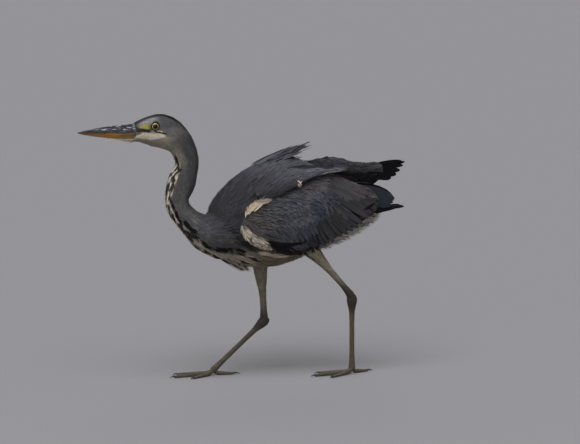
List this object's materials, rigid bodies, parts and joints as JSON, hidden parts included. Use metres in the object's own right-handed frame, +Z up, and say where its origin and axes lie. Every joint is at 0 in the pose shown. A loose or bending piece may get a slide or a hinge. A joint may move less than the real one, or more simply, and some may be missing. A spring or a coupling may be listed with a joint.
{
  "type": "grey heron figure",
  "caption": "Life-size heron stalking on two bent legs, neck drawn into an S, long dagger bill, one wing folded and the far one slightly raised.",
  "frame": {"origin": "middle of the bird's bounding box, at the floor under its toes", "axes": "+Z up; the bird looks along -X and its tail points along +X; its left side is at -Y"},
  "size_m": [0.734, 0.1762, 0.543],
  "materials": {
    "plumage_grey": "soft feather, matt",
    "plumage_dark": "soft feather, matt",
    "plumage_black": "flight feather, satin",
    "plumage_slate": "tail feather, satin",
    "plumage_thigh": "short soft feather, matt",
    "bill_upper": "smooth horn, satin",
    "bill_lower": "smooth horn, satin",
    "eye": "yellow iris under a clear wet surface",
    "leg_skin": "scaled bare skin, matt",
    "claw": "horn, satin"
  },
  "bodies": {
    "root": {"trunk": "plumage_grey", "neck_upper": "plumage_grey", "neck_middle": "plumage_grey", "neck_lower": "plumage_grey", "eye_left": "eye", "eye_right": "eye", "head": "plumage_grey", "bill_upper": "bill_upper", "bill_lower": "bill_lower", "scapulars_left": "plumage_grey", "wing_left_coverts": "plumage_dark", "wing_left_quills": "plumage_dark", "wing_left_primaries": "plumage_black", "scapulars_right": "plumage_grey", "wing_right_coverts": "plumage_dark", "wing_right_quills": "plumage_dark", "wing_right_primaries": "plumage_black", "tail": "plumage_slate", "thigh_left": "plumage_thigh", "shank_left": "leg_skin", "tarsus_left": "leg_skin", "toe_left_middle": "leg_skin", "claw_left_middle": "claw", "toe_left_inner": "leg_skin", "claw_left_inner": "claw", "toe_left_outer": "leg_skin", "claw_left_outer": "claw", "toe_left_hind": "leg_skin", "claw_left_hind": "claw", "thigh_right": "plumage_thigh", "shank_right": "leg_skin", "tarsus_right": "leg_skin", "toe_right_middle": "leg_skin", "claw_right_middle": "claw", "toe_right_inner": "leg_skin", "claw_right_inner": "claw", "toe_right_outer": "leg_skin", "claw_right_outer": "claw", "toe_right_hind": "leg_skin", "claw_right_hind": "claw", "plume_back_middle": "plumage_dark", "plume_back_left": "plumage_dark", "plume_back_right": "plumage_dark", "plume_breast_left": "plumage_dark", "plume_breast_right": "plumage_dark"}
  },
  "joints": []
}
